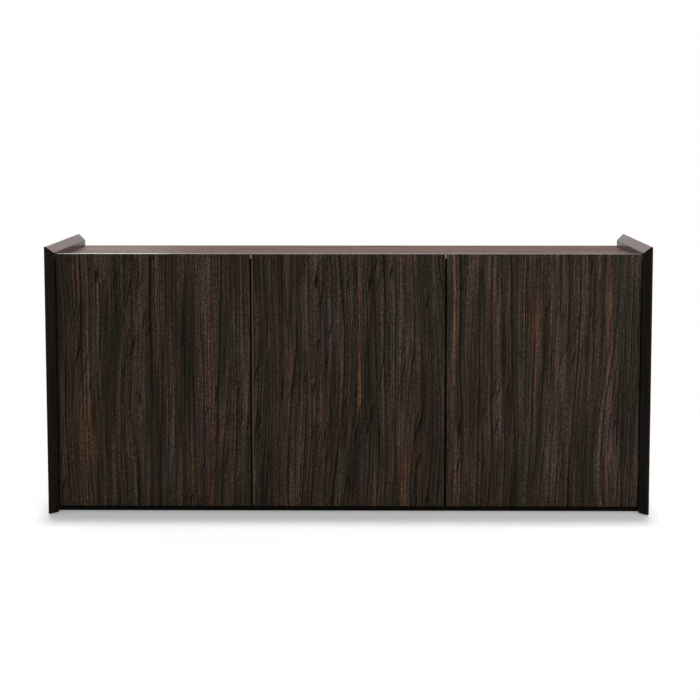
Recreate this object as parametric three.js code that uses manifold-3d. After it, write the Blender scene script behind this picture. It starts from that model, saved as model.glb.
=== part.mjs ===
// Three-door office credenza: bevelled side panels, a recessed top and handleless doors.
// Millimetres, +Z up, front towards -Y, origin on the floor under the middle of the cabinet.
import * as THREE from 'three';
import { mergeVertices } from 'three/addons/utils/BufferGeometryUtils.js';
import Module from 'manifold-3d';

const wasm = await Module();
wasm.setup();

// Overall form
const overallWidth = 1800;
const overallDepth = 460;
const overallHeight = 810;
const sidePanelThickness = 25;
const bevelLeg = 20;
const boardThickness = 19;
const topRecess = 18;
const footHeight = 4;
const bottomPanelHeight = 22;
const fitGap = 0.3;

// Doors
const doorCount = 3;
const doorThickness = 19;
const doorGap = 5.5;
const doorBackGap = 2;
const doorBottomHeight = 24;
const doorTopDrop = 3;
const edgeRadius = 1;
const edgeSteps = 2;

// Back panel and plinth
const backPanelThickness = 8;
const backPanelInset = 10;
const grooveDepth = 8;
const plinthThickness = 18;
const rearPlinthInset = 30;

// Shelves and their pins
const shelfSetback = 20;
const shelfSideGap = 0.8;
const shelfBackGap = 6;
const pinRadius = 2.5;
const pinReach = 10;
const pinHolePitch = 32;
const pinHoleRows = 5;
const pinFrontSetback = 37;
const pinRearSetback = 64;

// Glides
const glideRadius = 8;
const glideEdge = 1;
const glideStemRadius = 4;
const glideStemLength = 16;
const glideEndSetback = 45;

// Foot under the middle of the bottom panel
const footRadius = 18;
const footEdge = 2;
const footDiscHeight = 6;
const footNeckRadius = 9;
const footFlangeRadius = 16;
const footFlangeThickness = 3;
const footStemRadius = 5;
const footStemLength = 12;

// Concealed hinges, measured from the pivot axis of the door
const pivotEdgeDistance = 6;
const pivotFaceDistance = 6.5;
const hingeEndDistance = 100;
const hingePinRadius = 1.8;
const eyeRadius = 3.2;
const armWidth = 5;
const armHalfHeight = 5;
const armLength = 78;
const armBendDistance = 32;
const noseLean = 5.5;
const plateHeight = 5;
const plateStart = 34;
const plateHalfHeight = 6.5;
const wingThickness = 2;
const wingWidth = 20;
const wingHalfHeight = 25;
const wingHoleHeight = 18;
const wingHoleRadius = 2.5;
const lugThickness = 3;
const lugReach = 12;
const lugHeel = 1;
const pocketClearance = 0.6;
const cupRadius = 17.5;
const cupDepth = 11;
const cupWall = 1.2;
const cupEdgeDistance = 5;
const flangeWidth = 22;
const flangeHalfHeight = 26;
const flangeThickness = 1.2;

// Push latches
const latchWidth = 16;
const latchHeight = 15;
const latchLength = 76;
const latchCorner = 4;
const latchFootWidth = 30;
const latchFootThickness = 2.5;
const latchFootStart = 19;
const latchEdgeDistance = 32;
const latchSetback = 0.5;
const plungerRadius = 4.5;
const plungerLength = 44;
const plungerTipRound = 1.5;
const plungerTravel = 2;
const plungerClearance = 0.4;

// Facets of round forms
const fineSides = 24;
const coarseSides = 12;
const weldTolerance = 1e-4;

// Places worked out from the driving dimensions
const innerHalfWidth = overallWidth / 2 - sidePanelThickness;
const frontY = -overallDepth / 2;
const backY = overallDepth / 2;
const doorFrontY = frontY + bevelLeg;
const doorBackY = doorFrontY + doorThickness;
const carcassFrontY = doorBackY + doorBackGap;
const innerArrisZ = overallHeight - bevelLeg;
const topZ = innerArrisZ - topRecess;
const topUnderZ = topZ - boardThickness;
const bottomZ = bottomPanelHeight + boardThickness;
const doorTopZ = innerArrisZ - doorTopDrop;
const doorWidth = (2 * innerHalfWidth - (doorCount + 1) * doorGap) / doorCount;
const doorPitch = doorWidth + doorGap;
const backPanelBackY = backY - backPanelInset;
const backPanelFrontY = backPanelBackY - backPanelThickness;
const shelfUnderZ = (bottomZ + topUnderZ - boardThickness) / 2;
const shelfFrontY = carcassFrontY + shelfSetback;
const shelfBackY = backPanelFrontY - shelfBackGap;
const pinZ = shelfUnderZ - pinRadius - fitGap;
const pinColumnsY = [carcassFrontY + pinFrontSetback, backPanelFrontY - pinRearSetback];
const dividerCentersX = [-doorPitch / 2, doorPitch / 2];
const bays = ['left', 'middle', 'right'];

// Materials
const finish = (color, roughness, metalness = 0) =>
  new THREE.MeshStandardMaterial({ color, roughness, metalness, flatShading: true });
const darkWood = finish(0x33291f, 0.5);
const topWood = finish(0x3d3028, 0.42);
const innerWood = finish(0x3a2f27, 0.55);
const blackLaminate = finish(0x0b0a09, 0.6);
const nickel = finish(0xb9b9b6, 0.3, 1);
const zinc = finish(0x9a9c9d, 0.42, 1);
const greyPlastic = finish(0x6f7072, 0.55);
const blackPlastic = finish(0x151515, 0.6);

// Solids from closed three.js geometry, for cutting and joining
function toSolid(geometry) {
  const bare = geometry.clone();
  bare.deleteAttribute('normal');
  bare.deleteAttribute('uv');
  const merged = mergeVertices(bare, weldTolerance);
  return new wasm.Manifold(new wasm.Mesh({
    numProp: 3,
    vertProperties: merged.attributes.position.array,
    triVerts: Uint32Array.from(merged.index.array),
  }));
}

function toMesh(name, solid, material) {
  const { vertProperties, triVerts } = solid.getMesh();
  const geometry = new THREE.BufferGeometry();
  geometry.setAttribute('position', new THREE.BufferAttribute(vertProperties, 3));
  geometry.setIndex(new THREE.BufferAttribute(triVerts, 1));
  geometry.computeVertexNormals();
  const mesh = new THREE.Mesh(geometry, material);
  mesh.name = name;
  return mesh;
}

// Turns geometry drawn along +Z so that it runs along the named axis, keeping its handedness
const axisBasis = {
  x: [new THREE.Vector3(0, 1, 0), new THREE.Vector3(0, 0, 1), new THREE.Vector3(1, 0, 0)],
  y: [new THREE.Vector3(0, 0, 1), new THREE.Vector3(1, 0, 0), new THREE.Vector3(0, 1, 0)],
  z: [new THREE.Vector3(1, 0, 0), new THREE.Vector3(0, 1, 0), new THREE.Vector3(0, 0, 1)],
};

function alongAxis(geometry, axis) {
  return geometry.applyMatrix4(new THREE.Matrix4().makeBasis(...axisBasis[axis]));
}

// An outline extruded along an axis: the points are (y, z) for x, (z, x) for y and (x, y) for z
function prism(outline, axis, from, to) {
  const shape = outline instanceof THREE.Shape
    ? outline
    : new THREE.Shape(outline.map(([a, b]) => new THREE.Vector2(a, b)));
  const geometry = new THREE.ExtrudeGeometry(shape, {
    depth: to - from,
    bevelEnabled: false,
    curveSegments: coarseSides,
  });
  geometry.translate(0, 0, from);
  return toSolid(alongAxis(geometry, axis));
}

function box([x0, x1], [y0, y1], [z0, z1]) {
  const geometry = new THREE.BoxGeometry(Math.abs(x1 - x0), Math.abs(y1 - y0), Math.abs(z1 - z0));
  geometry.translate((x0 + x1) / 2, (y0 + y1) / 2, (z0 + z1) / 2);
  return toSolid(geometry);
}

// A round bar along an axis, centred on a point of the plane across it (same order as prism)
function bar(axis, [a, b], radius, from, to, sides = coarseSides) {
  const geometry = new THREE.CylinderGeometry(radius, radius, to - from, sides);
  geometry.rotateX(Math.PI / 2);
  geometry.translate(a, b, (from + to) / 2);
  return toSolid(alongAxis(geometry, axis));
}

// A profile of (radius, height) turned round an axis through the origin
function turned(profile, axis, sides = fineSides) {
  const geometry = new THREE.LatheGeometry(profile.map(([r, h]) => new THREE.Vector2(r, h)), sides);
  geometry.rotateX(Math.PI / 2);
  return toSolid(alongAxis(geometry, axis));
}

// A board with its edges eased all round its two faces, lying across the named axis
function easedBoard(axis, [a0, a1], [b0, b1], from, to) {
  const shape = new THREE.Shape([
    new THREE.Vector2(a0, b0),
    new THREE.Vector2(a1, b0),
    new THREE.Vector2(a1, b1),
    new THREE.Vector2(a0, b1),
  ]);
  const geometry = new THREE.ExtrudeGeometry(shape, {
    depth: to - from - 2 * edgeRadius,
    bevelThickness: edgeRadius,
    bevelSize: edgeRadius,
    bevelOffset: -edgeRadius,
    bevelSegments: edgeSteps,
  });
  geometry.translate(0, 0, from + edgeRadius);
  return toSolid(alongAxis(geometry, axis));
}

const cutAll = (solid, cutters) => cutters.reduce((rest, cutter) => rest.subtract(cutter), solid);
const joinAll = (solids) => solids.reduce((sum, solid) => sum.add(solid));
const mirrored = (side, x0, x1) => [side * x0, side * x1].sort((a, b) => a - b);

const credenza = new THREE.Group();

// Shelf pin holes: rows of five in two columns, the middle row in use
const pinRows = Array.from({ length: pinHoleRows }, (_, row) => row - (pinHoleRows - 1) / 2);

function pinHoles(from, to) {
  return pinColumnsY.flatMap((y) => pinRows.map((row) =>
    bar('x', [y, pinZ + row * pinHolePitch], pinRadius + fitGap, from, to)));
}

// Side panels, bevelled inwards at 45 degrees along the front and the top
const glideX = overallWidth / 2 - sidePanelThickness / 2;
const glideColumnsY = { front: frontY + glideEndSetback, rear: backY - glideEndSetback };

function sidePanel(side) {
  const outer = side * overallWidth / 2;
  const inner = side * innerHalfWidth;
  const edge = side * (innerHalfWidth + bevelLeg);
  const plan = prism([
    [outer, frontY], [edge, frontY], [inner, doorFrontY], [inner, backY], [outer, backY],
  ], 'z', footHeight, overallHeight);
  const elevation = prism([
    [footHeight, outer], [overallHeight, outer], [overallHeight, edge],
    [innerArrisZ, inner], [footHeight, inner],
  ], 'y', frontY, backY);
  const groove = box(
    mirrored(side, innerHalfWidth - fitGap, innerHalfWidth + grooveDepth),
    [backPanelFrontY - fitGap, backPanelBackY + fitGap],
    [bottomZ - grooveDepth, topUnderZ + grooveDepth],
  );
  const holes = pinHoles(...mirrored(side, innerHalfWidth - fitGap, innerHalfWidth + pinReach + fitGap));
  const glideHoles = Object.values(glideColumnsY).map((y) =>
    bar('z', [side * glideX, y], glideStemRadius + fitGap, 0, footHeight + glideStemLength + fitGap));
  return cutAll(plan.intersect(elevation), [groove, ...holes, ...glideHoles]);
}

credenza.add(toMesh('left_side_panel', sidePanel(-1), darkWood));
credenza.add(toMesh('right_side_panel', sidePanel(1), darkWood));

// Top and bottom panels between the side panels, grooved for the back panel
const panelSpan = [-innerHalfWidth, innerHalfWidth];
const grooveY = [backPanelFrontY - fitGap, backPanelBackY + fitGap];
const topPanel = box(panelSpan, [carcassFrontY, backY], [topUnderZ, topZ])
  .subtract(box(panelSpan, grooveY, [topUnderZ - fitGap, topUnderZ + grooveDepth]));
const footHole = bar(
  'z', [0, 0], footStemRadius + fitGap,
  bottomPanelHeight - fitGap, bottomPanelHeight + footStemLength + fitGap,
);
const bottomPanel = box(panelSpan, [carcassFrontY, backY], [bottomPanelHeight, bottomZ])
  .subtract(box(panelSpan, grooveY, [bottomZ - grooveDepth, bottomZ + fitGap]))
  .subtract(footHole);
credenza.add(toMesh('top_panel', topPanel, topWood));
credenza.add(toMesh('bottom_panel', bottomPanel, innerWood));

const backPanel = box(
  [-innerHalfWidth - grooveDepth + fitGap, innerHalfWidth + grooveDepth - fitGap],
  [backPanelFrontY, backPanelBackY],
  [bottomZ - grooveDepth + fitGap, topUnderZ + grooveDepth - fitGap],
);
credenza.add(toMesh('back_panel', backPanel, innerWood));

// Dividers behind the gaps between the doors
function divider(centerX) {
  const faces = [centerX - boardThickness / 2, centerX + boardThickness / 2];
  const board = box(faces, [carcassFrontY, backPanelFrontY - fitGap], [bottomZ, topUnderZ]);
  return cutAll(board, pinHoles(faces[0] - fitGap, faces[1] + fitGap));
}

credenza.add(toMesh('left_divider', divider(dividerCentersX[0]), innerWood));
credenza.add(toMesh('right_divider', divider(dividerCentersX[1]), innerWood));

// Plinth rails under the bottom panel
const plinthRailsY = {
  front: [carcassFrontY, carcassFrontY + plinthThickness],
  rear: [backY - rearPlinthInset - plinthThickness, backY - rearPlinthInset],
};

for (const [place, span] of Object.entries(plinthRailsY)) {
  const rail = box(panelSpan, span, [footHeight, bottomPanelHeight]);
  credenza.add(toMesh(`${place}_plinth`, rail, blackLaminate));
}

// Foot that holds up the middle of the bottom panel
const foot = turned([
  [0, 0],
  [footRadius - footEdge, 0],
  [footRadius, footEdge],
  [footRadius, footDiscHeight],
  [footNeckRadius, footDiscHeight],
  [footNeckRadius, bottomPanelHeight - footFlangeThickness],
  [footFlangeRadius, bottomPanelHeight - footFlangeThickness],
  [footFlangeRadius, bottomPanelHeight],
  [footStemRadius, bottomPanelHeight],
  [footStemRadius, bottomPanelHeight + footStemLength],
  [0, bottomPanelHeight + footStemLength],
], 'z');
credenza.add(toMesh('middle_foot', foot, blackPlastic));

// Glides: a disc on the floor with a stem pushed up into the board above
function glide(name, x, y) {
  const solid = turned([
    [0, 0],
    [glideRadius - glideEdge, 0],
    [glideRadius, glideEdge],
    [glideRadius, footHeight],
    [glideStemRadius, footHeight],
    [glideStemRadius, footHeight + glideStemLength],
    [0, footHeight + glideStemLength],
  ], 'z');
  const mesh = toMesh(name, solid, blackPlastic);
  mesh.position.set(x, y, 0);
  return mesh;
}

for (const [end, y] of Object.entries(glideColumnsY)) {
  credenza.add(glide(`left_${end}_glide`, -glideX, y));
  credenza.add(glide(`right_${end}_glide`, glideX, y));
}

// Shelves, one to a bay, and the pins that carry them: blind in the sides, right through the dividers
const bayWalls = [
  -innerHalfWidth,
  ...dividerCentersX.flatMap((x) => [x - boardThickness / 2, x + boardThickness / 2]),
  innerHalfWidth,
];

bays.forEach((bay, index) => {
  const shelfX = [bayWalls[2 * index] + shelfSideGap, bayWalls[2 * index + 1] - shelfSideGap];
  const shelfTopZ = shelfUnderZ + boardThickness;
  const shelf = easedBoard('z', shelfX, [shelfFrontY, shelfBackY], shelfUnderZ, shelfTopZ);
  credenza.add(toMesh(`${bay}_shelf`, shelf, innerWood));
});

const pinSpans = {
  left_side: [-innerHalfWidth - pinReach, -innerHalfWidth + pinReach],
  left_divider: [bayWalls[1] - pinReach, bayWalls[2] + pinReach],
  right_divider: [bayWalls[3] - pinReach, bayWalls[4] + pinReach],
  right_side: [innerHalfWidth - pinReach, innerHalfWidth + pinReach],
};

for (const [wall, [from, to]] of Object.entries(pinSpans)) {
  ['front', 'rear'].forEach((column, index) => {
    const pin = bar('x', [pinColumnsY[index], pinZ], pinRadius, from, to);
    credenza.add(toMesh(`${wall}_${column}_shelf_pin`, pin, nickel));
  });
}

// Hinges. Each is drawn about its pivot: u runs into the door, y runs back from the door's face.
// handed is 1 where the door hangs on its left edge and -1 where it hangs on its right edge.
const doorBackFromPivot = doorThickness - pivotFaceDistance;
const carcassFromPivot = doorBackFromPivot + doorBackGap;
const cupCenter = cupEdgeDistance + cupRadius - pivotEdgeDistance;
const lugInner = armHalfHeight + fitGap;
const lugOuter = lugInner + lugThickness;
const noseBend = carcassFromPivot + fitGap;
const noseSlot = noseLean + armWidth;

// A flat strip of constant width along a path, as an outline
function strip(path, width) {
  const points = path.map(([x, y]) => new THREE.Vector2(x, y));
  const turns = points.slice(1).map((point, i) => point.clone().sub(points[i]).normalize());
  const offsets = points.map((_, i) => {
    const before = turns[Math.max(i - 1, 0)];
    const after = turns[Math.min(i, turns.length - 1)];
    const along = before.clone().add(after).normalize();
    const reach = width / 2 / along.dot(after);
    return new THREE.Vector2(-along.y, along.x).multiplyScalar(reach);
  });
  const left = points.map((point, i) => point.clone().add(offsets[i]));
  const right = points.map((point, i) => point.clone().sub(offsets[i]));
  return [...left, ...right.reverse()].map(({ x, y }) => [x, y]);
}

// The arm's nose carries the eye on the pivot, and its tail lies on the mounting plate
function hingeArm(handed, faceU) {
  const tailU = faceU + plateHeight + fitGap + armWidth / 2;
  const path = [[0, 0], [noseLean, noseBend], [tailU, armBendDistance], [tailU, armLength]];
  const outline = strip(path.map(([u, y]) => [handed * u, y]), armWidth);
  const body = prism(outline, 'z', -armHalfHeight, armHalfHeight);
  const eye = bar('z', [0, 0], eyeRadius, -armHalfHeight, armHalfHeight, fineSides);
  const bore = bar('z', [0, 0], hingePinRadius + fitGap, -lugOuter, lugOuter, fineSides);
  return body.add(eye).subtract(bore);
}

// The plate is a ridge under the arm with two screwed wings
function hingePlate(handed, faceU) {
  const wingMiddle = (plateStart + armLength) / 2;
  const ridge = box(
    mirrored(handed, faceU, faceU + plateHeight),
    [plateStart, armLength],
    [-plateHalfHeight, plateHalfHeight],
  );
  const wings = box(
    mirrored(handed, faceU, faceU + wingThickness),
    [wingMiddle - wingWidth / 2, wingMiddle + wingWidth / 2],
    [-wingHalfHeight, wingHalfHeight],
  );
  const through = mirrored(handed, faceU - fitGap, faceU + plateHeight);
  const holes = [-wingHoleHeight, wingHoleHeight].map((z) =>
    bar('x', [wingMiddle, z], wingHoleRadius, ...through));
  return cutAll(ridge.add(wings), holes);
}

// The cup is a shallow tub with a flange on the door's back and two lugs that hold the pin
function hingeCup(handed) {
  const center = handed * cupCenter;
  const floorY = doorBackFromPivot - cupDepth;
  const tub = bar('y', [0, center], cupRadius, floorY, doorBackFromPivot, fineSides);
  const flange = box(
    mirrored(handed, cupCenter - flangeWidth / 2, cupCenter + flangeWidth / 2),
    [doorBackFromPivot, doorBackFromPivot + flangeThickness],
    [-flangeHalfHeight, flangeHalfHeight],
  );
  const hollow = bar(
    'y', [0, center], cupRadius - cupWall, floorY + cupWall, doorBackFromPivot + cupDepth, fineSides,
  );
  const lugs = [-lugOuter, lugInner].flatMap((z) => [
    bar('z', [0, 0], eyeRadius, z, z + lugThickness, fineSides),
    prism([
      [-eyeRadius * handed, 0], [0, -eyeRadius], [lugReach * handed, floorY],
      [lugReach * handed, doorBackFromPivot], [lugHeel * handed, doorBackFromPivot],
    ], 'z', z, z + lugThickness),
  ]);
  const slot = box(
    mirrored(handed, -cupRadius, noseSlot),
    [-cupRadius, doorBackFromPivot + cupDepth],
    [-lugInner, lugInner],
  );
  const bore = bar('z', [0, 0], hingePinRadius + fitGap, -cupRadius, cupRadius, fineSides);
  return cutAll(joinAll([tub, flange]).subtract(hollow).add(joinAll(lugs)), [slot, bore]);
}

// The pocket that a hinge takes out of its door: the cup's bore and a notch for the nose and lugs
function hingePocket(handed) {
  const notch = box(
    mirrored(handed, -pivotEdgeDistance - fitGap, lugReach + fitGap),
    [-eyeRadius - pocketClearance, doorBackFromPivot + fitGap],
    [-lugOuter - fitGap, lugOuter + fitGap],
  );
  const bore = bar(
    'y', [0, handed * cupCenter], cupRadius + fitGap,
    doorBackFromPivot - cupDepth - fitGap, doorBackFromPivot + fitGap, fineSides,
  );
  return notch.add(bore);
}

// The left door hangs on the left side panel, the middle door on the left divider
// and the right door on the right side panel
const doorHands = { left: 1, middle: 1, right: -1 };
const mountingFaces = {
  left: -doorGap - pivotEdgeDistance,
  middle: boardThickness / 2 - doorGap / 2 - pivotEdgeDistance,
  right: -doorGap - pivotEdgeDistance,
};
const hingeHeights = { upper: doorTopZ - hingeEndDistance, lower: doorBottomHeight + hingeEndDistance };

bays.forEach((bay, index) => {
  const handed = doorHands[bay];
  const doorCenterX = (index - (doorCount - 1) / 2) * doorPitch;
  const doorX = [doorCenterX - doorWidth / 2, doorCenterX + doorWidth / 2];
  const pivotX = doorCenterX - handed * (doorWidth / 2 - pivotEdgeDistance);
  const pivotY = doorFrontY + pivotFaceDistance;
  const blank = easedBoard('y', [doorBottomHeight, doorTopZ], doorX, doorFrontY, doorBackY);
  const pockets = Object.values(hingeHeights).map((z) =>
    hingePocket(handed).translate([pivotX, pivotY, z]));
  credenza.add(toMesh(`${bay}_door`, cutAll(blank, pockets), darkWood));

  for (const [level, z] of Object.entries(hingeHeights)) {
    const hinge = new THREE.Group();
    const name = `${bay}_${level}_hinge`;
    hinge.position.set(pivotX, pivotY, z);
    hinge.add(toMesh(`${name}_arm`, hingeArm(handed, mountingFaces[bay]), nickel));
    hinge.add(toMesh(`${name}_plate`, hingePlate(handed, mountingFaces[bay]), zinc));
    hinge.add(toMesh(`${name}_cup`, hingeCup(handed), nickel));
    const pin = bar('z', [0, 0], hingePinRadius, -lugOuter, lugOuter, fineSides);
    hinge.add(toMesh(`${name}_pin`, pin, zinc));
    credenza.add(hinge);
  }
});

// Push latches under the top panel, near the free edge of each door
const latchAxisZ = -latchHeight / 2;
const plungerFrontY = plungerClearance - doorBackGap - latchSetback;

function latchBody() {
  const half = latchWidth / 2;
  const outline = new THREE.Shape();
  outline.moveTo(0, -half);
  outline.lineTo(0, half);
  outline.lineTo(latchCorner - latchHeight, half);
  outline.absarc(latchCorner - latchHeight, half - latchCorner, latchCorner, Math.PI / 2, Math.PI);
  outline.lineTo(-latchHeight, latchCorner - half);
  outline.absarc(latchCorner - latchHeight, latchCorner - half, latchCorner, Math.PI, 1.5 * Math.PI);
  outline.closePath();
  const housing = prism(outline, 'y', 0, latchLength);
  const foot = box(
    [-latchFootWidth / 2, latchFootWidth / 2],
    [latchFootStart, latchLength],
    [-latchFootThickness, 0],
  );
  const boreEnd = plungerFrontY + plungerLength + plungerTravel + fitGap;
  const bore = bar('y', [latchAxisZ, 0], plungerRadius + fitGap, plungerFrontY, boreEnd, fineSides);
  return housing.add(foot).subtract(bore);
}

function latchPlunger() {
  return turned([
    [0, 0],
    [plungerRadius - plungerTipRound, 0],
    [plungerRadius, plungerTipRound],
    [plungerRadius, plungerLength],
    [0, plungerLength],
  ], 'y').translate([0, plungerFrontY, latchAxisZ]);
}

bays.forEach((bay, index) => {
  const freeWall = doorHands[bay] > 0 ? bayWalls[2 * index + 1] : bayWalls[2 * index];
  const latch = new THREE.Group();
  const latchX = freeWall - doorHands[bay] * latchEdgeDistance;
  latch.position.set(latchX, carcassFrontY + latchSetback, topUnderZ);
  latch.add(toMesh(`${bay}_latch_body`, latchBody(), greyPlastic));
  latch.add(toMesh(`${bay}_latch_plunger`, latchPlunger(), blackPlastic));
  credenza.add(latch);
});

export default credenza;
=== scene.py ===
import math
from typing import NamedTuple

import bmesh
import bpy
from mathutils import Matrix, Vector


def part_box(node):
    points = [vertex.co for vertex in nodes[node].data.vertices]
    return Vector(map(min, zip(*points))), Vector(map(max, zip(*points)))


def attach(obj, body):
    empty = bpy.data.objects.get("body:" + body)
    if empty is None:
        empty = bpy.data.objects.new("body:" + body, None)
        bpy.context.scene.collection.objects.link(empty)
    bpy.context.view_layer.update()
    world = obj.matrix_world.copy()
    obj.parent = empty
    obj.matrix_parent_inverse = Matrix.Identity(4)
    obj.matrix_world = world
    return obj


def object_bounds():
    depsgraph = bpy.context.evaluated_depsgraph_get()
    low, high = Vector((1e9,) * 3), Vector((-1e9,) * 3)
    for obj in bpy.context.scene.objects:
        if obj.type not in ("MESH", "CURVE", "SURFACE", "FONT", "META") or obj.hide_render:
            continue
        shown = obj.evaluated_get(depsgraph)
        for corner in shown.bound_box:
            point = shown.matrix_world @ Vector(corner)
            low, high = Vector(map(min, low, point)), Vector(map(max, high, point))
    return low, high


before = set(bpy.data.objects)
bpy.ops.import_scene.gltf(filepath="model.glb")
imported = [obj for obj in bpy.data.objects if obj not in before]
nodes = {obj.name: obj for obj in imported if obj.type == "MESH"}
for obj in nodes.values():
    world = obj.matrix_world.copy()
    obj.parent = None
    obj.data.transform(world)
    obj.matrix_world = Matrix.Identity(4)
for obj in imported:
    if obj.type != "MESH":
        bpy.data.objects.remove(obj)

cad_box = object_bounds()

# Names in the frame
BAYS = ("left", "middle", "right")
LEVELS = ("upper", "lower")
DOORS = [f"{bay}_door" for bay in BAYS]
SHELVES = [f"{bay}_shelf" for bay in BAYS]
HINGES = [(bay, f"{bay}_{level}_hinge") for bay in BAYS for level in LEVELS]

# Directions, and the measures of a point: its place in metres and the parts of its surface normal
ALONG_X, ALONG_Z = (1, 0, 0), (0, 0, 1)
BACK, UP, DOWN = (0, 1, 0), (0, 0, 1), (0, 0, -1)
X, Y, Z, NORMAL_Y, NORMAL_Z = 0, 1, 2, 4, 5

# Places on the object that the finishes and fittings go by
half_width = (cad_box[1].x - cad_box[0].x) / 2
side_front = cad_box[0].y
side_top = cad_box[1].z
left_inner_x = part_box("left_side_panel")[1].x
right_inner_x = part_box("right_side_panel")[0].x
middle_door_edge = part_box("middle_door")[0].x
door_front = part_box("middle_door")[0].y
door_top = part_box("middle_door")[1].z
carcass_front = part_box("bottom_panel")[0].y
bottom_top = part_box("bottom_panel")[1].z
top_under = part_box("top_panel")[0].z
top_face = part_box("top_panel")[1].z
bevel_foot = side_top - (door_front - side_front)

WHITE = (1.0, 1.0, 1.0, 1.0)
SEEING_RAYS = ("Is Camera Ray", "Is Transmission Ray", "Is Glossy Ray")


def srgb(red, green, blue):
    """An sRGB colour in 0 to 255 as a linear colour with alpha, by the standard curve."""
    def linear(value):
        share = value / 255
        return share / 12.92 if share <= 0.04045 else ((share + 0.055) / 1.055) ** 2.4
    return (linear(red), linear(green), linear(blue), 1.0)


class Nodes:
    """A node tree that is built one node at a time."""

    def __init__(self, tree):
        self.tree = tree
        tree.nodes.clear()

    def node(self, kind, **settings):
        """A new node with settings such as its operation."""
        node = self.tree.nodes.new(kind)
        for name, value in settings.items():
            setattr(node, name, value)
        return node

    def join(self, source, target):
        """Links a socket to an input, or sets the input to a plain value."""
        if hasattr(source, "is_output"):
            self.tree.links.new(source, target)
        else:
            target.default_value = source

    def fill(self, node, *values):
        """Fills a node's inputs in order and gives its first output."""
        for socket, value in zip(node.inputs, values):
            self.join(value, socket)
        return node.outputs[0]

    def math(self, operation, *values):
        return self.fill(self.node("ShaderNodeMath", operation=operation), *values)

    def chain(self, operation, first, *others):
        """One operation over two or more values in turn."""
        result = first
        for other in others:
            result = self.math(operation, result, other)
        return result

    def add(self, *values):
        return self.chain("ADD", *values)

    def times(self, *values):
        return self.chain("MULTIPLY", *values)

    def highest(self, *values):
        return self.chain("MAXIMUM", *values)

    def remap(self, value, low, high, to_low=0.0, to_high=1.0):
        """A value taken smoothly from one range to another."""
        node = self.node("ShaderNodeMapRange", interpolation_type="SMOOTHSTEP")
        return self.fill(node, value, low, high, to_low, to_high)

    def parts_of(self, kind):
        """The three parts of one kind of texture coordinate."""
        coordinates = self.node("ShaderNodeTexCoord")
        split = self.node("ShaderNodeSeparateXYZ")
        self.join(coordinates.outputs[kind], split.inputs[0])
        return list(split.outputs)

    def vector(self, x, y, z):
        return self.fill(self.node("ShaderNodeCombineXYZ"), x, y, z)

    def noise(self, vector, scale, detail, roughness):
        node = self.node("ShaderNodeTexNoise", noise_dimensions="3D")
        self.join(vector, node.inputs["Vector"])
        node.inputs["Scale"].default_value = scale
        node.inputs["Detail"].default_value = detail
        node.inputs["Roughness"].default_value = roughness
        return node.outputs["Fac"]

    def ramp(self, value, stops):
        """A colour ramp with the given positions and colours."""
        node = self.node("ShaderNodeValToRGB")
        elements = node.color_ramp.elements
        while len(elements) < len(stops):
            elements.new(0.5)
        for element, (position, colour) in zip(elements, stops):
            element.position = position
            element.color = colour
        return self.fill(node, value)

    def mix(self, factor, first, second, blend="MIX"):
        """Two colours mixed by a factor; the colour sockets of the node are 6, 7 and 2."""
        node = self.node("ShaderNodeMix", data_type="RGBA", blend_type=blend, clamp_factor=True)
        self.join(factor, node.inputs[0])
        self.join(first, node.inputs[6])
        self.join(second, node.inputs[7])
        return node.outputs[2]

    def seen(self):
        """1 for the rays by which something is seen, straight, through glass or in a mirror."""
        path = self.node("ShaderNodeLightPath")
        return self.highest(*[path.outputs[name] for name in SEEING_RAYS])


class Shader(Nodes):
    """The node tree of a new material with one main surface."""

    def __init__(self, name):
        self.material = bpy.data.materials.new(name)
        self.material.use_nodes = True
        super().__init__(self.material.node_tree)
        self.output = self.node("ShaderNodeOutputMaterial")
        self.surface = self.node("ShaderNodeBsdfPrincipled")
        self.join(self.surface.outputs[0], self.output.inputs["Surface"])

    def set(self, **values):
        """Sets or links inputs of the main surface."""
        for name, value in values.items():
            self.join(value, self.surface.inputs[name.replace("_", " ")])

    def bump(self, height, distance, strength):
        node = self.node("ShaderNodeBump")
        node.inputs["Strength"].default_value = strength
        node.inputs["Distance"].default_value = distance
        self.join(height, node.inputs["Height"])
        self.set(Normal=node.outputs[0])


class Pattern(NamedTuple):
    """Noise in the wood: cycles per metre across and along the grain, and the range spread to 0 to 1."""
    across: float
    along: float
    detail: float
    low: float
    high: float
    roughness: float = 0.55


class GrainRun(NamedTuple):
    """How grain lies in a board: weights of x, y and z across and along it, its start and its layer."""
    across: tuple
    along: tuple
    shift: float
    layer: float = 0.0


class WoodLook(NamedTuple):
    """How a wood looks, apart from the run of its grain."""
    tone: float = 1.0
    roughness: float = 0.45
    gloss: float = 0.12
    relief: float = 0.4
    sheen: tuple = ()
    streaks: bool = False


class PaintedBand(NamedTuple):
    """A band of painted light or shade on a board: bounds of measures as axis, low and high, and what
    shows inside them.
    """
    bounds: tuple
    colour: tuple
    strength: float
    roughness: float


# Dark wood colours, in sRGB
BAND_COLOURS = (
    (0.00, srgb(30, 27, 18)),
    (0.25, srgb(41, 35, 26)),
    (0.48, srgb(51, 42, 32)),
    (0.70, srgb(60, 48, 39)),
    (1.00, srgb(74, 58, 48)),
)
VEIN_COLOUR = srgb(7, 6, 3)
STREAK_COLOUR = srgb(110, 73, 51)
# Tints that come and go: colour, place in the noise and strength
TINTS = (
    (srgb(78, 46, 36), 31.7, 0.26),
    (srgb(38, 38, 25), 47.3, 0.75),
    (srgb(62, 52, 53), 63.9, 0.60),
)
TINT_PLACES = Pattern(across=30.0, along=2.6, detail=2.0, low=0.54, high=0.70)

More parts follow.
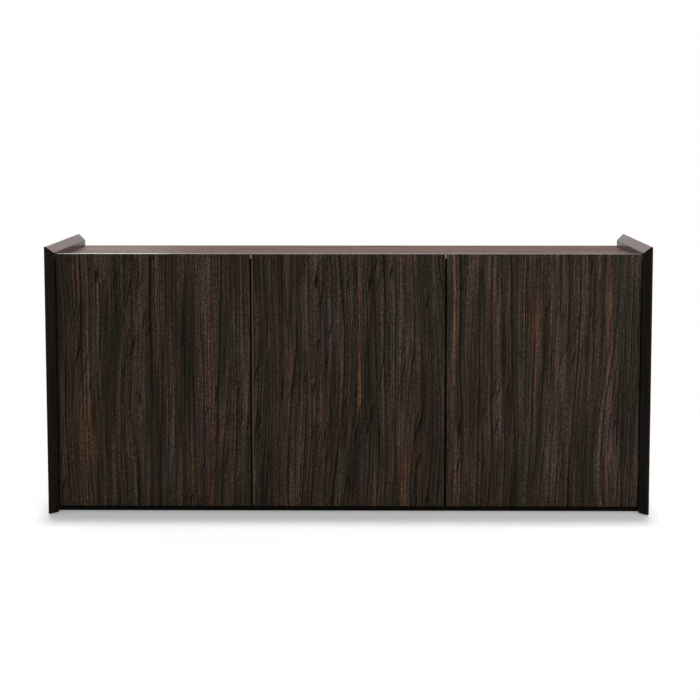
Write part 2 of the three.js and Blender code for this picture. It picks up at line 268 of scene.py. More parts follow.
# Warm streaks across the front: place in metres, half width in metres and strength
WARM_STREAKS = (
    (-0.790, 0.036, 0.16),
    (-0.417, 0.006, 0.80),
    (-0.178, 0.008, 0.40),
    (0.034, 0.006, 0.72),
    (0.165, 0.020, 0.30),
    (0.316, 0.007, 0.55),
    (0.422, 0.018, 0.25),
    (0.560, 0.009, 0.45),
    (0.775, 0.007, 0.60),
)
STREAK_FADING = Pattern(across=9.0, along=2.2, detail=2.0, low=0.34, high=0.62)
STREAK_FAINTEST = 0.3
STREAK_WAVER = 0.008

# The grain drifts slowly, wavers and ripples a little; reaches in metres
LAYER_STEP = 0.02
DRIFT = Pattern(across=2.2, along=0.8, detail=1.0, low=0.20, high=0.80)
DRIFT_REACH = 0.022
FIGURE = Pattern(across=6.0, along=2.2, detail=1.5, low=0.20, high=0.80)
FIGURE_REACH = 0.009
RIPPLE = Pattern(across=50.0, along=16.0, detail=1.0, low=0.20, high=0.80)
RIPPLE_REACH = 0.0014

# Growth rings cut along the grain, each darkest at its start
RING_FIELD = Pattern(across=9.0, along=0.8, detail=1.0, low=0.15, high=0.85)
RINGS = {"per_metre": 36.0, "sway": 2.0}
RING_VEIN_EDGES = (0.17, 0.02)
RING_VEIN_PLACES = Pattern(across=44.0, along=2.2, detail=1.0, low=0.36, high=0.50)
HAIRS = {"per_metre": 92.0, "sway": 4.8}
HAIR_EDGES = (0.30, 0.03)
HAIR_PLACES = Pattern(across=60.0, along=4.2, detail=1.0, low=0.36, high=0.54)
HAIR_STRENGTH = 0.92
# Short veins that slant across the grain
SLANT = -0.2
SLASHES = Pattern(across=130.0, along=9.0, detail=1.0, low=0.61, high=0.69)
SLASH_PLACES = Pattern(across=7.0, along=4.0, detail=1.0, low=0.46, high=0.60)
VEIN_STRENGTH = 0.9

# Broad bands and straight lines, with their shares of the tone
BANDS = Pattern(across=19.0, along=0.5, detail=2.0, low=0.28, high=0.72)
BAND_SHARE = 0.34
LINES = Pattern(across=120.0, along=1.6, detail=3.0, low=0.32, high=0.68, roughness=0.6)
LINE_SHARE = 0.34
RING_SHARE = 0.32

# Fine lines, speckle and cross marks, with the lightness that they give
FINE_LINES = Pattern(across=340.0, along=4.5, detail=2.0, low=0.36, high=0.64)
FINE_LIGHT = (0.62, 1.42)
SPECKLE = Pattern(across=420.0, along=110.0, detail=2.0, low=0.30, high=0.70)
SPECKLE_LIGHT = (0.60, 1.40)
CROSS_MARKS = Pattern(across=190.0, along=210.0, detail=1.0, low=0.34, high=0.62)
CROSS_PLACES = Pattern(across=22.0, along=1.8, detail=2.0, low=0.36, high=0.60)
CROSS_STRENGTH = 0.80
CROSS_LEAST_LIGHT = 0.84

# Polish and relief of the wood
POLISH_RANGE = (0.3, 1.7)
ROUGHER, SMOOTHER = 0.12, 0.04
SHEEN_ROUGHNESS = 0.4
FINE_RELIEF = 0.5
VEIN_RELIEF = -0.9
RELIEF_DEPTH = 0.0004


class Grain:
    """Places in the grain of one wood, and noise over them."""

    def __init__(self, shader, run):
        self.shader = shader
        self.place = shader.parts_of("Object")
        self.wide = shader.add(self.direction(run.across), run.shift)
        self.length = self.direction(run.along)
        depth = shader.times(shader.add(self.place[Y], self.place[Z]), LAYER_STEP)
        self.depth = shader.add(depth, run.layer)
        self.figure = self.sway(FIGURE)
        self.bent = shader.add(
            self.wide,
            shader.times(self.sway(DRIFT), DRIFT_REACH),
            shader.times(self.figure, FIGURE_REACH),
            shader.times(self.sway(RIPPLE), RIPPLE_REACH),
        )
        self.field = self.pattern(self.bent, RING_FIELD)
        self.ring = self.rings(**RINGS)

    def direction(self, weights):
        """How far a point lies along a direction."""
        parts = [self.shader.times(axis, weight) for axis, weight in zip(self.place, weights) if weight]
        return self.shader.add(*parts)

    def pattern(self, base, kind):
        """Noise stretched along the grain, spread to the range from 0 to 1."""
        shader = self.shader
        across = shader.times(base, kind.across)
        along = shader.times(self.length, kind.along)
        noise = shader.noise(shader.vector(across, along, self.depth), 1.0, kind.detail, kind.roughness)
        return shader.remap(noise, kind.low, kind.high)

    def sway(self, kind):
        """A pattern from -0.5 to 0.5."""
        return self.shader.math("SUBTRACT", self.pattern(self.wide, kind), 0.5)

    def rings(self, per_metre, sway):
        """From 0 at the start of each ring to 1 at its end."""
        shader = self.shader
        count = shader.add(shader.times(self.field, sway), shader.times(self.bent, per_metre))
        return shader.math("FRACT", count)


def dark_veins(shader, grain):
    """How dark the veins are: the starts of rings, hair lines and short slanting marks."""
    ring_veins = shader.times(
        shader.remap(grain.ring, *RING_VEIN_EDGES),
        grain.pattern(grain.bent, RING_VEIN_PLACES),
    )
    hairs = shader.times(
        shader.remap(grain.rings(**HAIRS), *HAIR_EDGES),
        grain.pattern(grain.bent, HAIR_PLACES),
        HAIR_STRENGTH,
    )
    slanted = shader.add(grain.bent, shader.times(grain.length, SLANT))
    slashes = shader.times(grain.pattern(slanted, SLASHES), grain.pattern(grain.wide, SLASH_PLACES))
    return shader.times(shader.highest(ring_veins, hairs, slashes), VEIN_STRENGTH)


def streak_stops():
    """The warm streaks as stops of a ramp over the width of the front."""
    stops = [(0.0, (0, 0, 0, 1))]
    for place, reach, strength in WARM_STREAKS:
        for offset, value in ((-reach, 0.0), (0.0, strength), (reach, 0.0)):
            position = (place + offset + half_width) / (2 * half_width)
            stops.append((position, (value, value, value, 1)))
    return stops


def warm_streaks(shader, grain, colour):
    """Adds the warm streaks of the front to a colour."""
    wavering = shader.add(grain.wide, shader.times(grain.figure, STREAK_WAVER))
    over = shader.math("DIVIDE", shader.add(wavering, half_width), 2 * half_width)
    fading = shader.remap(grain.pattern(grain.wide, STREAK_FADING), 0.0, 1.0, STREAK_FAINTEST, 1.0)
    strength = shader.times(shader.ramp(over, streak_stops()), fading)
    return shader.mix(strength, colour, STREAK_COLOUR)


def wood_colour(shader, grain, streaks):
    """Bands and lines with their tints, before the veins."""
    tone = shader.add(
        shader.times(grain.pattern(grain.bent, BANDS), BAND_SHARE),
        shader.times(grain.pattern(grain.bent, LINES), LINE_SHARE),
        shader.times(grain.ring, RING_SHARE),
    )
    colour = shader.ramp(tone, BAND_COLOURS)
    for tint, tint_shift, strength in TINTS:
        over = shader.add(grain.bent, tint_shift)
        here = shader.times(grain.pattern(over, TINT_PLACES), strength)
        colour = shader.mix(here, colour, tint)
    return warm_streaks(shader, grain, colour) if streaks else colour


def add_painted_bands(shader, place, painted_bands, colour, rough):
    """Lays bands of painted light and shade over the colour and roughness of a wood."""
    measures = place + shader.parts_of("Normal")
    for band in painted_bands:
        tests = []
        for axis, low, high in band.bounds:
            tests.append(shader.math("GREATER_THAN", measures[axis], low))
            tests.append(shader.math("LESS_THAN", measures[axis], high))
        inside = shader.times(*tests)
        colour = shader.mix(shader.times(inside, band.strength), colour, band.colour)
        rough = shader.remap(inside, 0.0, 1.0, rough, band.roughness)
    return colour, rough


def wood(name, run, look, painted_bands=()):
    """Wood whose grain runs along one direction, with bands of painted light and shade."""
    shader = Shader(name)
    grain = Grain(shader, run)
    veins = dark_veins(shader, grain)
    fine = grain.pattern(grain.bent, FINE_LINES)
    speckle = grain.pattern(grain.bent, SPECKLE)
    marks = shader.times(
        grain.pattern(grain.wide, CROSS_MARKS),
        grain.pattern(grain.bent, CROSS_PLACES),
        CROSS_STRENGTH,
    )
    light = shader.times(
        shader.remap(fine, 0.0, 1.0, *FINE_LIGHT),
        shader.remap(speckle, 0.0, 1.0, *SPECKLE_LIGHT),
        shader.add(marks, CROSS_LEAST_LIGHT),
        look.tone,
    )
    colour = shader.mix(veins, wood_colour(shader, grain, look.streaks), VEIN_COLOUR)
    colour = shader.mix(1.0, colour, shader.vector(light, light, light), "MULTIPLY")
    roughest, smoothest = look.roughness + ROUGHER, look.roughness - SMOOTHER
    rough = shader.remap(shader.add(speckle, fine), *POLISH_RANGE, roughest, smoothest)
    if painted_bands:
        colour, rough = add_painted_bands(shader, grain.place, painted_bands, colour, rough)
    shader.set(Base_Color=colour, Roughness=rough, Specular_IOR_Level=look.gloss)
    if look.sheen:
        weight, tint = look.sheen
        shader.set(Sheen_Weight=weight, Sheen_Roughness=SHEEN_ROUGHNESS, Sheen_Tint=tint)
    relief = shader.add(shader.times(fine, FINE_RELIEF), shader.times(veins, VEIN_RELIEF), marks)
    shader.bump(relief, RELIEF_DEPTH, look.relief)
    return shader.material


# Plated metal: brushing in cycles per metre, stains and the range of its roughness
BRUSHING = (2600.0, 260.0, 2600.0)
BRUSHING_RANGE = (0.3, 0.7)
BRUSHING_DEPTH = 0.00004
STAIN_SCALE = 110.0
STAIN_RANGE = (0.35, 0.7)
STAIN_SHADE = 0.84
METAL_DETAIL, METAL_NOISE_ROUGHNESS = 3.0, 0.6
METAL_SMOOTHER, METAL_ROUGHER = 0.05, 0.06


def metal(name, colour, roughness, brushing):
    """Plated steel with fine brushing and faint staining."""
    shader = Shader(name)
    place = shader.parts_of("Object")
    stretched = [shader.times(axis, scale) for axis, scale in zip(place, BRUSHING)]
    fine = shader.noise(shader.vector(*stretched), 1.0, METAL_DETAIL, METAL_NOISE_ROUGHNESS)
    stain = shader.noise(shader.vector(*place), STAIN_SCALE, METAL_DETAIL, METAL_NOISE_ROUGHNESS)
    darker = tuple(channel * STAIN_SHADE for channel in colour[:3]) + (1.0,)
    shade = shader.mix(shader.remap(stain, *STAIN_RANGE), colour, darker)
    rough = shader.remap(fine, *BRUSHING_RANGE, roughness - METAL_SMOOTHER, roughness + METAL_ROUGHER)
    shader.set(Base_Color=shade, Roughness=rough, Metallic=1.0)
    shader.bump(fine, BRUSHING_DEPTH, brushing)
    return shader.material


# Moulded plastic: grain and clouds in cycles per metre and the range of its roughness
PLASTIC_GRAIN = 1400.0
PLASTIC_GRAIN_RANGE = (0.3, 0.7)
PLASTIC_GRAIN_DEPTH, PLASTIC_GRAIN_STRENGTH = 0.0003, 0.3
PLASTIC_GLOSS = 0.3
CLOUD_SCALE = 60.0
CLOUD_RANGE = (0.35, 0.68)
CLOUD_LIGHT = 1.35
PLASTIC_DETAIL, GRAIN_NOISE_ROUGHNESS, CLOUD_NOISE_ROUGHNESS = 2.0, 0.6, 0.5
PLASTIC_SMOOTHER, PLASTIC_ROUGHER = 0.08, 0.1


def plastic(name, colour, roughness, grain_scale=PLASTIC_GRAIN, gloss=PLASTIC_GLOSS):
    """Moulded plastic with a fine spark-eroded grain."""
    shader = Shader(name)
    place = shader.vector(*shader.parts_of("Object"))
    grain = shader.noise(place, grain_scale, PLASTIC_DETAIL, GRAIN_NOISE_ROUGHNESS)
    cloud = shader.noise(place, CLOUD_SCALE, PLASTIC_DETAIL, CLOUD_NOISE_ROUGHNESS)
    lighter = tuple(min(1.0, channel * CLOUD_LIGHT) for channel in colour[:3]) + (1.0,)
    shade = shader.mix(shader.remap(cloud, *CLOUD_RANGE), colour, lighter)
    rough = shader.remap(
        grain, *PLASTIC_GRAIN_RANGE, roughness - PLASTIC_SMOOTHER, roughness + PLASTIC_ROUGHER,
    )
    shader.set(Base_Color=shade, Roughness=rough, Specular_IOR_Level=gloss)
    shader.bump(grain, PLASTIC_GRAIN_DEPTH, PLASTIC_GRAIN_STRENGTH)
    return shader.material


# Painted light and shade on the edges of the boards: painted highlights on the doors, painted shade on
# the side panels' fronts, black painted shade in gaps, and painted light on the top bevels and inner
# lips
NEAR = 0.0004
EDGE_HIGHLIGHT_WIDTH = 0.0045
PAINTED_SHADE_BLACK = srgb(6, 5, 4)
EDGE_HIGHLIGHT_COLOUR = srgb(74, 65, 57)
DOOR_TOP_PAINTED_HIGHLIGHT = srgb(82, 67, 59)
SIDE_FRONT_PAINTED_SHADE = srgb(20, 16, 11)
BEVEL_AND_LIP_PAINTED_LIGHT = srgb(112, 91, 90)
FRONT_BEVEL_PAINTED_SHADE = srgb(13, 10, 8)
# Parts of the normal on the bevels, which face forward or up
FACING_FORWARD = (NORMAL_Y, -0.9, -0.3)
FACING_UP = (NORMAL_Z, 0.3, 1.1)


def near(axis, value, reach=NEAR):
    """A bound close round a value."""
    return (axis, value - NEAR, value + reach)


# Painted shade: a near-black band put where a gap or recess lies in shadow
def painted_shade_band(*bounds):
    return PaintedBand(bounds, PAINTED_SHADE_BLACK, strength=1.0, roughness=0.7)


def side_painted_bands(inner_x):
    """Bands painted on a side panel: painted shade on its front edge and front bevel, painted light on
    its top bevel and inner lip, and black painted shade in the shadow gap beside the door.
    """
    front_bevel = (FACING_FORWARD, (Y, side_front, door_front + NEAR))
    # Painted light on the top bevel and on the inner lip above the top, which are made lighter than the
    # rest of the side panel
    top_bevel = (FACING_UP, (Z, bevel_foot, side_top + NEAR))
    inner_lip = (near(X, inner_x), (Z, top_face, side_top))
    return (
        PaintedBand((near(Y, side_front),), SIDE_FRONT_PAINTED_SHADE, strength=0.7, roughness=0.4),
        PaintedBand(front_bevel, FRONT_BEVEL_PAINTED_SHADE, strength=0.8, roughness=0.5),
        PaintedBand(top_bevel, BEVEL_AND_LIP_PAINTED_LIGHT, strength=0.85, roughness=0.2),
        PaintedBand(inner_lip, BEVEL_AND_LIP_PAINTED_LIGHT, strength=0.6, roughness=0.25),
        painted_shade_band(near(X, inner_x), (Y, door_front + NEAR, carcass_front)),
    )


# Painted highlight: a lighter band on the middle door's left edge paints the light that its rounded edge
# catches
middle_edge_highlight = (near(X, middle_door_edge, EDGE_HIGHLIGHT_WIDTH), near(Y, door_front, EDGE_HIGHLIGHT_WIDTH))
# Painted highlights on the doors: the lighter colour on the door tops paints the light they catch, while
# their low roughness is a real smoother polish; the lighter band on the middle door's left edge is a
# painted highlight too
DOOR_PAINTED_HIGHLIGHTS = (
    PaintedBand((near(Z, door_top),), DOOR_TOP_PAINTED_HIGHLIGHT, strength=0.7, roughness=0.16),
    PaintedBand(middle_edge_highlight, EDGE_HIGHLIGHT_COLOUR, strength=0.8, roughness=0.4),
)
# Painted shade: the carcass boards' front edges are black so the gaps round the doors stay as dark as
# their shadow
CARCASS_PAINTED_SHADE = (painted_shade_band(near(Y, carcass_front)),)

# Looks of the woods; a sheen is its weight and tint
SIDE_SHEEN = (0.08, srgb(226, 202, 206))
TOP_SHEEN = (0.13, srgb(240, 128, 106))
FRONT_LOOK = WoodLook(tone=0.80, gloss=0.04, streaks=True)
SIDE_LOOK = WoodLook(tone=0.68, roughness=0.34, gloss=0.035, relief=0.12, sheen=SIDE_SHEEN)
# Painted light: the top's higher tone makes the top wood lighter than the front for the light falling on
# it from above
TOP_LOOK = WoodLook(tone=1.25, roughness=0.42, gloss=0.045, relief=0.25, sheen=TOP_SHEEN)
CARCASS_LOOK = WoodLook(tone=1.15)
BACK_LOOK = WoodLook(tone=1.05)

# Grain of the boards, each from another place in the wood; the front starts at the face of the doors
UPRIGHT = {"across": (1, 1, 0), "along": ALONG_Z}
UPRIGHT_TURNED = {"across": (1, -1, 0), "along": ALONG_Z}
LEVEL = {"across": (0, 1, 1), "along": ALONG_X}
FRONT_RUN = GrainRun(**UPRIGHT, shift=-door_front, layer=15.8)
LEFT_SIDE_RUN = GrainRun(**UPRIGHT, shift=3.1)
RIGHT_SIDE_RUN = GrainRun(**UPRIGHT_TURNED, shift=5.7)
TOP_RUN = GrainRun(**LEVEL, shift=1.7)
FLAT_RUN = GrainRun(**LEVEL, shift=8.3)
DIVIDER_RUN = GrainRun(**UPRIGHT, shift=11.9)
BACK_RUN = GrainRun(**UPRIGHT, shift=14.4)

front_wood = wood("front_wood", FRONT_RUN, FRONT_LOOK, DOOR_PAINTED_HIGHLIGHTS)
left_side_wood = wood("left_side_wood", LEFT_SIDE_RUN, SIDE_LOOK, side_painted_bands(left_inner_x))
right_side_wood = wood("right_side_wood", RIGHT_SIDE_RUN, SIDE_LOOK, side_painted_bands(right_inner_x))
top_wood = wood("top_wood", TOP_RUN, TOP_LOOK, CARCASS_PAINTED_SHADE)
flat_wood = wood("flat_wood", FLAT_RUN, CARCASS_LOOK, CARCASS_PAINTED_SHADE)
divider_wood = wood("divider_wood", DIVIDER_RUN, CARCASS_LOOK, CARCASS_PAINTED_SHADE)
back_wood = wood("back_wood", BACK_RUN, BACK_LOOK)
# Near-black laminate on the plinths; its darkness also paints the shade in the band under the doors
black_laminate = plastic("black_laminate", srgb(7, 6, 5), roughness=0.7, grain_scale=900.0, gloss=0.05)
black_plastic = plastic("black_plastic", srgb(20, 20, 20), roughness=0.55)
grey_plastic = plastic("grey_plastic", srgb(112, 113, 116), roughness=0.5)
clear_rubber = plastic("clear_rubber", srgb(170, 168, 160), roughness=0.35, grain_scale=600.0)
nickel = metal("nickel", srgb(214, 212, 206), roughness=0.48, brushing=0.1)
zinc = metal("zinc", srgb(190, 193, 196), roughness=0.55, brushing=0.15)

# Finishes by the name of a CAD node, or by the kind of piece that its name ends in
FINISHES = {
    "left_side_panel": left_side_wood,
    "right_side_panel": right_side_wood,
    "top_panel": top_wood,
    "bottom_panel": flat_wood,
    "left_divider": divider_wood,
    "right_divider": divider_wood,
    "back_panel": back_wood,
    "front_plinth": black_laminate,
    "rear_plinth": black_laminate,
    **{name: front_wood for name in DOORS},
    **{name: flat_wood for name in SHELVES},
}
ENDING_FINISHES = (
    ("_arm", nickel),
    ("_cup", nickel),
    ("_plate", zinc),
    ("_shelf_pin", nickel),
    ("_pin", zinc),
    ("_latch_body", grey_plastic),
    ("_plunger", black_plastic),
    ("_glide", black_plastic),
    ("_foot", black_plastic),
)


def finish_of(name):
    """The material of a CAD node; of the endings, the first that fits counts."""
    if name in FINISHES:
        return FINISHES[name]
    for ending, material in ENDING_FINISHES:
        if name.endswith(ending):
            return material
    raise KeyError(name)


for name, node in nodes.items():
    node.data.materials.clear()
    node.data.materials.append(finish_of(name))

# Softened edges on the boards
EDGE_WIDTHS = {
    "left_side_panel": 0.0009,
    "right_side_panel": 0.0009,
    "top_panel": 0.0007,
    "bottom_panel": 0.0007,
    "left_divider": 0.0006,
    "right_divider": 0.0006,
    "front_plinth": 0.0006,
    "rear_plinth": 0.0006,
}
EDGE_ANGLE = math.radians(28)
EDGE_SEGMENTS = 2
WELD_REACH = 0.00001
for name, width in EDGE_WIDTHS.items():
    weld = nodes[name].modifiers.new("weld", "WELD")
    weld.merge_threshold = WELD_REACH
    bevel = nodes[name].modifiers.new("soft_edges", "BEVEL")
    bevel.width = width
    bevel.segments = EDGE_SEGMENTS
    bevel.limit_method = "ANGLE"
    bevel.angle_limit = EDGE_ANGLE
    bevel.harden_normals = True

# Screw heads, in shares of their radius and height
SCREW_SIDES = 20
RIM_LEVEL = 0.35
CROWN_REACH = 0.72
RECESS_REACH = 0.5
RECESS_LEVEL = 0.3
CROSS_ARM = 0.32
CROSS_STEPS = ((1, CROSS_ARM), (CROSS_ARM, CROSS_ARM), (CROSS_ARM, 1))
TURNED_SIDES = 24


def circle(radius, sides):
    """Corners of a round outline, anticlockwise."""
    turns = [2 * math.pi * step / sides for step in range(sides)]
    return [Vector((radius * math.cos(turn), radius * math.sin(turn))) for turn in turns]


def cross_outline(reach):
    """Corners of a cross-shaped recess, anticlockwise."""
    points = []
    for quarter in range(4):
        turn = Matrix.Rotation(quarter * math.pi / 2, 2)
        points += [turn @ Vector((a * reach, b * reach)) for a, b in CROSS_STEPS]
    return points


def add_ring(mesh, place, points, level):
    """Adds an outline at a level and gives its corners."""
    return [mesh.verts.new(place @ Vector((point.x, point.y, level))) for point in points]


def pairs_round(loop):
    """Each corner of a closed outline with the next one."""
    return zip(loop, loop[1:] + loop[:1])


def add_wall(mesh, low, high):
    """Adds the faces between two outlines with as many corners."""
    for (low_a, low_b), (high_a, high_b) in zip(pairs_round(low), pairs_round(high)):
        mesh.faces.new((low_a, low_b, high_b, high_a))


def add_screw(mesh, place, radius, height):
    """Adds a low domed screw head with a cross recess; place takes its +Z to the way it faces."""
    outline = circle(radius, SCREW_SIDES)
    recess = cross_outline(radius * RECESS_REACH)
    base = add_ring(mesh, place, outline, 0.0)
    rim = add_ring(mesh, place, outline, height * RIM_LEVEL)
    crown = add_ring(mesh, place, circle(radius * CROWN_REACH, SCREW_SIDES), height)
    cross = add_ring(mesh, place, recess, height)
    floor = add_ring(mesh, place, recess, height * RECESS_LEVEL)
    mesh.faces.new(list(reversed(base)))
    add_wall(mesh, base, rim)
    add_wall(mesh, rim, crown)
    add_wall(mesh, floor, cross)
    mesh.faces.new(floor)
    edges = [mesh.edges.get(pair) for loop in (crown, cross) for pair in pairs_round(loop)]
    bmesh.ops.triangle_fill(mesh, use_beauty=True, use_dissolve=False, edges=edges)


def add_turned(mesh, place, profile):
    """Adds a closed turned form; the profile gives radius and height from its base to its face."""
    rings = [add_ring(mesh, place, circle(radius, TURNED_SIDES), height) for radius, height in profile]
    for low, high in zip(rings, rings[1:]):
        add_wall(mesh, low, high)
    mesh.faces.new(list(reversed(rings[0])))
    mesh.faces.new(rings[-1])


def link(name, data):
    """A new object in the scene."""
    item = bpy.data.objects.new(name, data)
    bpy.context.scene.collection.objects.link(item)
    return item


def piece_from(mesh, name, material, body):
    """Makes an object of a bmesh, riding on a body."""
    bmesh.ops.recalc_face_normals(mesh, faces=mesh.faces)
    data = bpy.data.meshes.new(name)
    mesh.to_mesh(data)
    mesh.free()
    data.materials.append(material)
    piece = link(name, data)
    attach(piece, body)


def facing(place, direction):
    """A matrix at a place whose +Z points along a direction."""
    turn = Vector(direction).to_track_quat("Z", "Y").to_matrix().to_4x4()
    return Matrix.Translation(place) @ turn


def middle(low, high):
    return (low + high) / 2


# Screws of the hinges: two in the wings of each plate, two in the arm and two in the flange of the cup
PLATE_SCREW = {"radius": 0.0038, "height": 0.0014}
WING_THICKNESS = 0.002
WING_SCREW_REACH = 0.018
ARM_SCREW = {"radius": 0.0032, "height": 0.0012}
ARM_RISE = 0.0053
ARM_SCREW_SETBACKS = (0.009, 0.026)
CUP_SCREW = {"radius": 0.0034, "height": 0.0007}
CUP_SCREW_SETBACK = 0.0175
FLANGE_SCREW_REACH = 0.0215
# 1 where a door hangs on its left, -1 where it hangs on its right
HAND = {"left": 1, "middle": 1, "right": -1}


def add_hinge_screws(bay, hinge):
    """Adds the screws of one hinge."""
    hand = HAND[bay]
    inward = (hand, 0, 0)
    plate_low, plate_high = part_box(f"{hinge}_plate")
    arm_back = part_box(f"{hinge}_arm")[1].y
    cup_low, cup_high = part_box(f"{hinge}_cup")
    plate_middle = middle(plate_low, plate_high)
    face_x = plate_low.x if hand > 0 else plate_high.x

    plate_screws = bmesh.new()
    for side in (-1, 1):
        height = plate_middle.z + side * WING_SCREW_REACH
        at = Vector((face_x + hand * WING_THICKNESS, plate_middle.y, height))
        add_screw(plate_screws, facing(at, inward), **PLATE_SCREW)
    piece_from(plate_screws, f"{hinge}_plate_screws", zinc, "cabinet")

    arm_screws = bmesh.new()
    arm_x = face_x + hand * (plate_high.x - plate_low.x + ARM_RISE)
    for setback in ARM_SCREW_SETBACKS:
        at = Vector((arm_x, arm_back - setback, plate_middle.z))
        add_screw(arm_screws, facing(at, inward), **ARM_SCREW)
    piece_from(arm_screws, f"{hinge}_arm_screws", zinc, "cabinet")

    cup_screws = bmesh.new()
    cup_x = (cup_high.x - CUP_SCREW_SETBACK) if hand > 0 else (cup_low.x + CUP_SCREW_SETBACK)
    for side in (-1, 1):
        at = Vector((cup_x, cup_high.y, plate_middle.z + side * FLANGE_SCREW_REACH))
        add_screw(cup_screws, facing(at, BACK), **CUP_SCREW)
    piece_from(cup_screws, f"{hinge}_cup_screws", zinc, f"{bay}_door_leaf")


for bay, hinge in HINGES:
    add_hinge_screws(bay, hinge)

# Cam fittings that hold the boards together, set flush in the bottom and top panels
CAM = {"radius": 0.0075, "height": 0.0006}
CAM_INSET = 0.034
CAM_SETBACK = 0.06
BAY_WALLS = (
    ("left_side_panel", "left_divider"),
    ("left_divider", "right_divider"),
    ("right_divider", "right_side_panel"),
)
divider_low, divider_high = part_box("left_divider")
cam_rows = (divider_low.y + CAM_SETBACK, divider_high.y - CAM_SETBACK)
for bay, (left_wall, right_wall) in zip(BAYS, BAY_WALLS):
    cams = bmesh.new()
    for x in (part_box(left_wall)[1].x + CAM_INSET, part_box(right_wall)[0].x - CAM_INSET):
        for y in cam_rows:
            add_screw(cams, facing(Vector((x, y, bottom_top)), UP), **CAM)
            add_screw(cams, facing(Vector((x, y, top_under)), DOWN), **CAM)
    piece_from(cams, f"{bay}_cam_fittings", zinc, "cabinet")

# Clear bumpers on the backs of the doors, at their free corners
BUMPER_RADIUS = 0.004
BUMPER_HEIGHT = 0.0013
BUMPER_INSET = 0.012
BUMPER_LOW_RISE = 0.03
BUMPER_HIGH_RISE = 0.009
# A flat stuck-on base, a short wall, a round shoulder and a slightly dished face
BUMPER_SHAPE = (
    (1.0, 0.0), (1.0, 0.30), (0.96, 0.55), (0.86, 0.80),
    (0.70, 0.96), (0.52, 1.0), (0.34, 0.94), (0.16, 0.91),
)
BUMPER_PROFILE = [(BUMPER_RADIUS * reach, BUMPER_HEIGHT * level) for reach, level in BUMPER_SHAPE]
for bay in BAYS:
    low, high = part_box(f"{bay}_door")
    free_x = high.x - BUMPER_INSET if HAND[bay] > 0 else low.x + BUMPER_INSET
    bumpers = bmesh.new()
    for z in (low.z + BUMPER_LOW_RISE, top_under + BUMPER_HIGH_RISE):
        add_turned(bumpers, facing(Vector((free_x, high.y, z)), BACK), BUMPER_PROFILE)
    piece_from(bumpers, f"{bay}_door_bumpers", clear_rubber, f"{bay}_door_leaf")

# Screws through the feet of the latches
LATCH_SCREW = {"radius": 0.0026, "height": 0.001}
LATCH_SCREW_REACH = 0.0115
LATCH_FRONT_SETBACK = 0.031
LATCH_REAR_SETBACK = 0.012
LATCH_FOOT_THICKNESS = 0.0025
for bay in BAYS:
    low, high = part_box(f"{bay}_latch_body")
    screws = bmesh.new()
    for side in (-1, 1):
        x = middle(low, high).x + side * LATCH_SCREW_REACH
        for y in (low.y + LATCH_FRONT_SETBACK, high.y - LATCH_REAR_SETBACK):
            at = Vector((x, y, high.z - LATCH_FOOT_THICKNESS))
            add_screw(screws, facing(at, DOWN), **LATCH_SCREW)
    piece_from(screws, f"{bay}_latch_screws", zinc, "cabinet")

# Floor, which keeps the shadow near the object and fades into the white background; fade in metres
FLOOR_REACH = 40.0
FLOOR_COLOUR = 0.74
FLOOR_ROUGHNESS = 0.9
FLOOR_GLOW = 0.235
FADE_RANGE = (0.75, 1.6)
FADE_WIDTH_SHARE = 0.6


def floor_finish():
    """A pale floor with a faint glow where it is seen, and plain white far from the object."""
    shader = Shader("pale_floor")
    grey = (FLOOR_COLOUR, FLOOR_COLOUR, FLOOR_COLOUR, 1.0)
    shader.set(Base_Color=grey, Roughness=FLOOR_ROUGHNESS, Specular_IOR_Level=0.0)
    seen = shader.seen()
    glow = shader.node("ShaderNodeEmission")
    shader.join(shader.times(seen, FLOOR_GLOW), glow.inputs["Strength"])
    lit = shader.fill(shader.node("ShaderNodeAddShader"), shader.surface.outputs[0], glow.outputs[0])
    x, y, _ = shader.parts_of("Object")
    squares = [shader.math("POWER", reach, 2.0) for reach in (shader.times(x, FADE_WIDTH_SHARE), y)]
    distance = shader.math("SQRT", shader.add(*squares))
    far = shader.times(shader.remap(distance, *FADE_RANGE), seen)
    white = shader.node("ShaderNodeEmission")
    blend = shader.fill(shader.node("ShaderNodeMixShader"), far, lit, white.outputs[0])
    shader.join(blend, shader.output.inputs["Surface"])
    return shader.material


floor_mesh = bmesh.new()
bmesh.ops.create_grid(floor_mesh, x_segments=1, y_segments=1, size=FLOOR_REACH)
floor_data = bpy.data.meshes.new("floor")
floor_mesh.to_mesh(floor_data)
floor_mesh.free()
floor_data.materials.append(floor_finish())
floor = link("floor", floor_data)

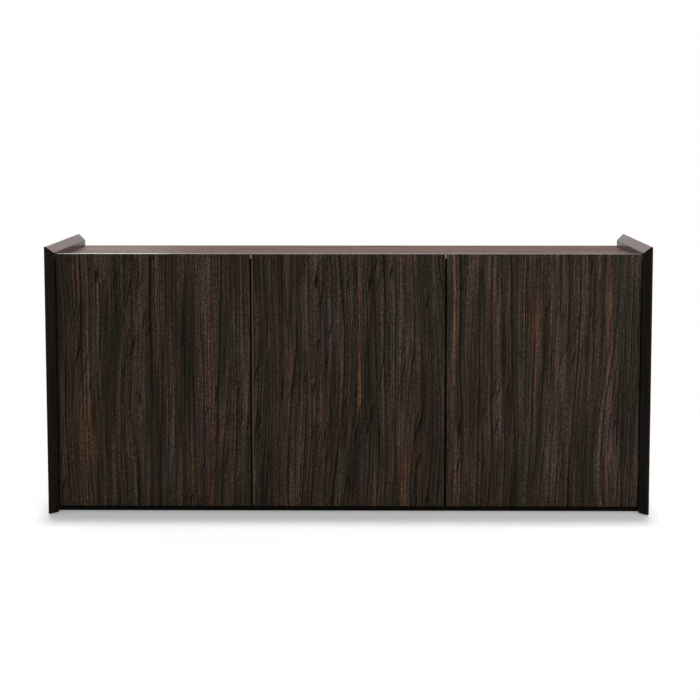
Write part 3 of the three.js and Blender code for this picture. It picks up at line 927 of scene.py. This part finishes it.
# World: white where it is seen; it lights from a pale backdrop behind and a dim room around
ROOM_LIGHT = 0.20
BACKDROP_LIGHT = 1.0
BACKDROP_RANGE = (0.1, 0.8)
world = bpy.data.worlds.new("studio")
bpy.context.scene.world = world
world.use_nodes = True
studio = Nodes(world.node_tree)
room = studio.remap(studio.parts_of("Generated")[Y], *BACKDROP_RANGE, ROOM_LIGHT, BACKDROP_LIGHT)
brightness = studio.remap(studio.seen(), 0.0, 1.0, room, 1.0)
background = studio.fill(studio.node("ShaderNodeBackground"), WHITE, brightness)
studio.join(background, studio.node("ShaderNodeOutputWorld").inputs["Surface"])


class AreaLamp(NamedTuple):
    """A rectangular lamp: its place, target and size in metres and its power in watts."""
    name: str
    place: tuple
    target: tuple
    size: tuple
    power: float


AREA_LAMPS = (
    AreaLamp("key", place=(2.0, -3.0, 1.3), target=(0.3, -0.2, 0.5), size=(2.4, 1.4), power=60.0),
    AreaLamp("fill", place=(-2.6, -2.4, 1.9), target=(0, 0, 0.4), size=(1.6, 1.6), power=16.0),
    AreaLamp("rim", place=(-1.5, 2.2, 1.2), target=(-0.6, 0, 0.77), size=(1.2, 0.8), power=4.2),
)
OVERHEAD_STRENGTH = 2.1
OVERHEAD_SPREAD = math.radians(8)
OVERHEAD_LEAN = math.radians(7)

overhead_data = bpy.data.lights.new("overhead", "SUN")
overhead_data.energy = OVERHEAD_STRENGTH
overhead_data.angle = OVERHEAD_SPREAD
link("overhead", overhead_data).rotation_euler = (-OVERHEAD_LEAN, 0, 0)
for spec in AREA_LAMPS:
    lamp_data = bpy.data.lights.new(spec.name, "AREA")
    lamp_data.shape = "RECTANGLE"
    lamp_data.size, lamp_data.size_y = spec.size
    lamp_data.energy = spec.power
    lamp = link(spec.name, lamp_data)
    lamp.location = spec.place
    lamp.rotation_euler = (Vector(spec.target) - Vector(spec.place)).to_track_quat("-Z", "Y").to_euler()

# Camera, fitted to the photograph
CAMERA_PLACE = (0.0759, -4.2152, 1.1821)
CAMERA_PITCH = math.radians(4.5)
CAMERA_YAW = 0.0072
CAMERA_LENS = 69.72
CAMERA_SHIFT = (-0.02, -0.1754)
camera_data = bpy.data.cameras.new("camera")
camera_data.lens = CAMERA_LENS
camera_data.shift_x, camera_data.shift_y = CAMERA_SHIFT
camera = link("camera", camera_data)
camera.location = CAMERA_PLACE
camera.rotation_euler = (math.pi / 2 - CAMERA_PITCH, 0, CAMERA_YAW)
bpy.context.scene.camera = camera
bpy.context.scene.view_settings.view_transform = "Standard"
